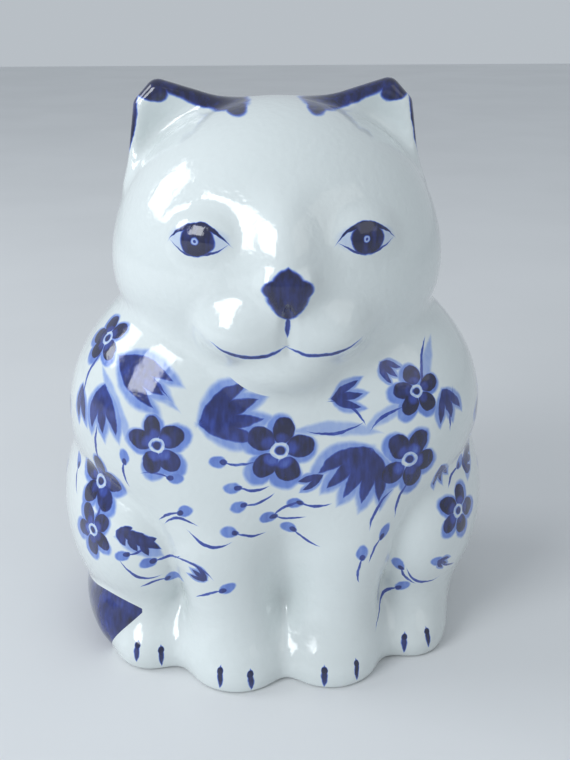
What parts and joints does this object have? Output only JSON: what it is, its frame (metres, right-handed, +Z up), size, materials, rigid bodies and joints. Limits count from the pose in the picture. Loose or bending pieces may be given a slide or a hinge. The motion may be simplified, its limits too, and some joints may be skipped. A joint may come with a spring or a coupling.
{
  "type": "cat figurine",
  "caption": "Hollow glazed porcelain figurine of a seated cat facing forward, painted in cobalt blue, standing on its flat base.",
  "frame": {"origin": "centre of the figurine's footprint box on the surface it stands on", "axes": "+Z up; the cat looks along -Y; its own left side is +X"},
  "size_m": [0.156, 0.131, 0.2],
  "materials": {
    "glazed_porcelain": "gloss",
    "bare_porcelain": "matte"
  },
  "bodies": {
    "root": {"torso_shell": "glazed_porcelain", "base_plate": "bare_porcelain", "head_shell": "glazed_porcelain", "left_ear": "glazed_porcelain", "right_ear": "glazed_porcelain", "left_foreleg": "glazed_porcelain", "right_foreleg": "glazed_porcelain", "left_forepaw": "glazed_porcelain", "right_forepaw": "glazed_porcelain", "left_haunch": "glazed_porcelain", "right_haunch": "glazed_porcelain", "left_hind_paw": "glazed_porcelain", "right_hind_paw": "glazed_porcelain", "tail": "glazed_porcelain"}
  },
  "joints": []
}
